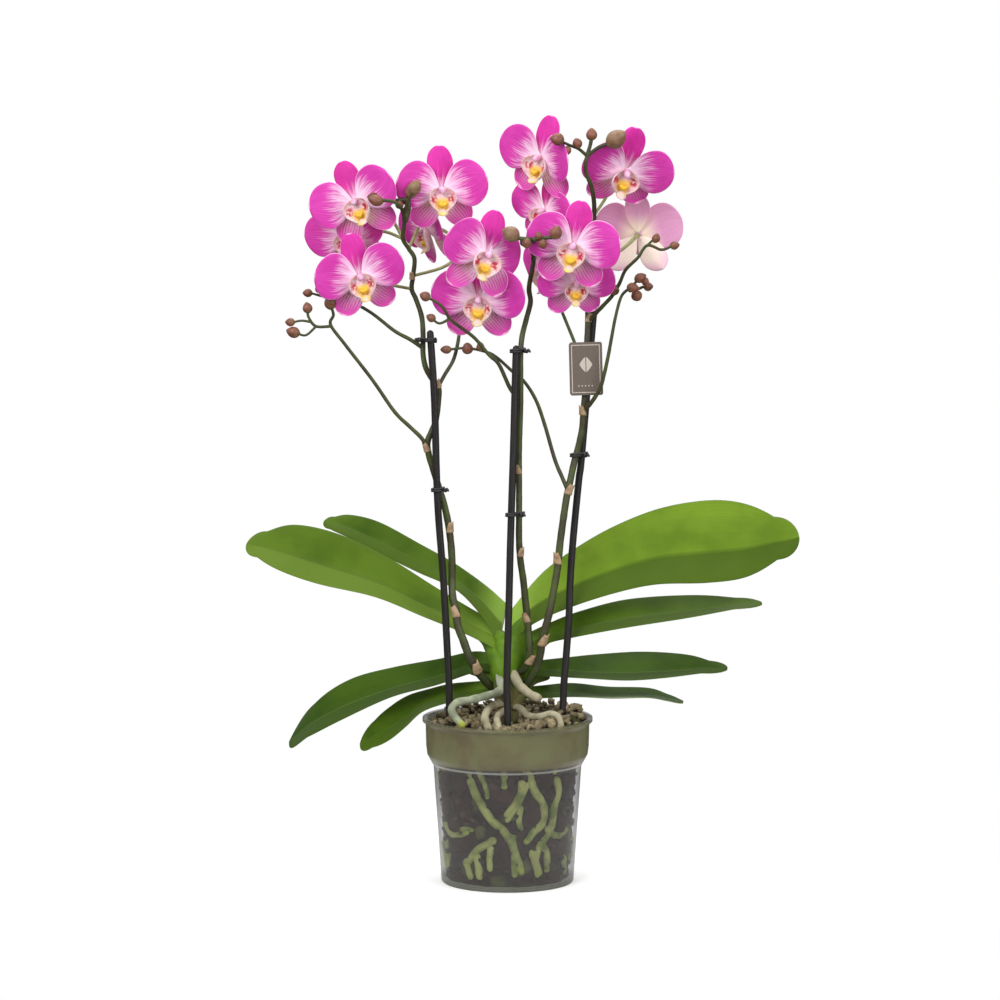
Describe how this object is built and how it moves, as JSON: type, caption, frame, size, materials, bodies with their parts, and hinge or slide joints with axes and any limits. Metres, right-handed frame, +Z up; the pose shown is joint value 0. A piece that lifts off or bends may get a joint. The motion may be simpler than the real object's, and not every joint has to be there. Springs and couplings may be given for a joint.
{
  "type": "potted moth orchid",
  "caption": "A potted moth orchid with arching flower spikes tied to dark stakes, magenta blooms, fleshy strap leaves, bark mix and a small blank care tag",
  "frame": {"origin": "centre of the flat underside of the pot", "axes": "+Z up the plant, -Y toward the side the flowers face, +X to the right seen from that side"},
  "size_m": [0.3909, 0.1341, 0.5402],
  "materials": {
    "clear_plastic": "gloss",
    "bark": "matte",
    "root": "matte",
    "root_green": "matte",
    "stem_green": "satin",
    "leaf": "satin",
    "stake": "satin",
    "spike": "satin",
    "petal": "satin",
    "tag": "matte",
    "wire": "satin"
  },
  "bodies": {
    "root": {"pot": "clear_plastic", "growing_mix": "bark", "crown": "stem_green", "care_tag": "tag", "root_aerial_1": "root", "root_wall_1": "root_green", "root_aerial_2": "root", "root_wall_2": "root_green", "root_aerial_3": "root", "root_wall_3": "root_green", "root_aerial_4": "root", "root_wall_4": "root_green", "root_aerial_5": "root", "root_wall_5": "root_green", "leaf_left_1": "leaf", "leaf_right_1": "leaf", "leaf_left_2": "leaf", "leaf_right_2": "leaf", "leaf_left_3": "leaf", "leaf_right_3": "leaf", "leaf_left_4": "leaf", "leaf_right_4": "leaf", "stake_left": "stake", "spike_left": "spike", "stake_middle": "stake", "spike_middle": "spike", "stake_right": "stake", "spike_right": "spike", "clip_left_low": "wire", "clip_left_top": "wire", "clip_middle_low": "wire", "clip_middle_top": "wire", "clip_right_low": "wire", "clip_tag": "wire", "flower_01": "petal", "flower_02": "petal", "flower_03": "petal", "flower_04": "petal", "flower_05": "petal", "flower_06": "petal", "flower_07": "petal", "flower_08": "petal", "flower_09": "petal", "flower_10": "petal", "flower_11": "petal", "flower_12": "petal", "flower_13": "petal", "flower_14": "petal"}
  },
  "joints": []
}
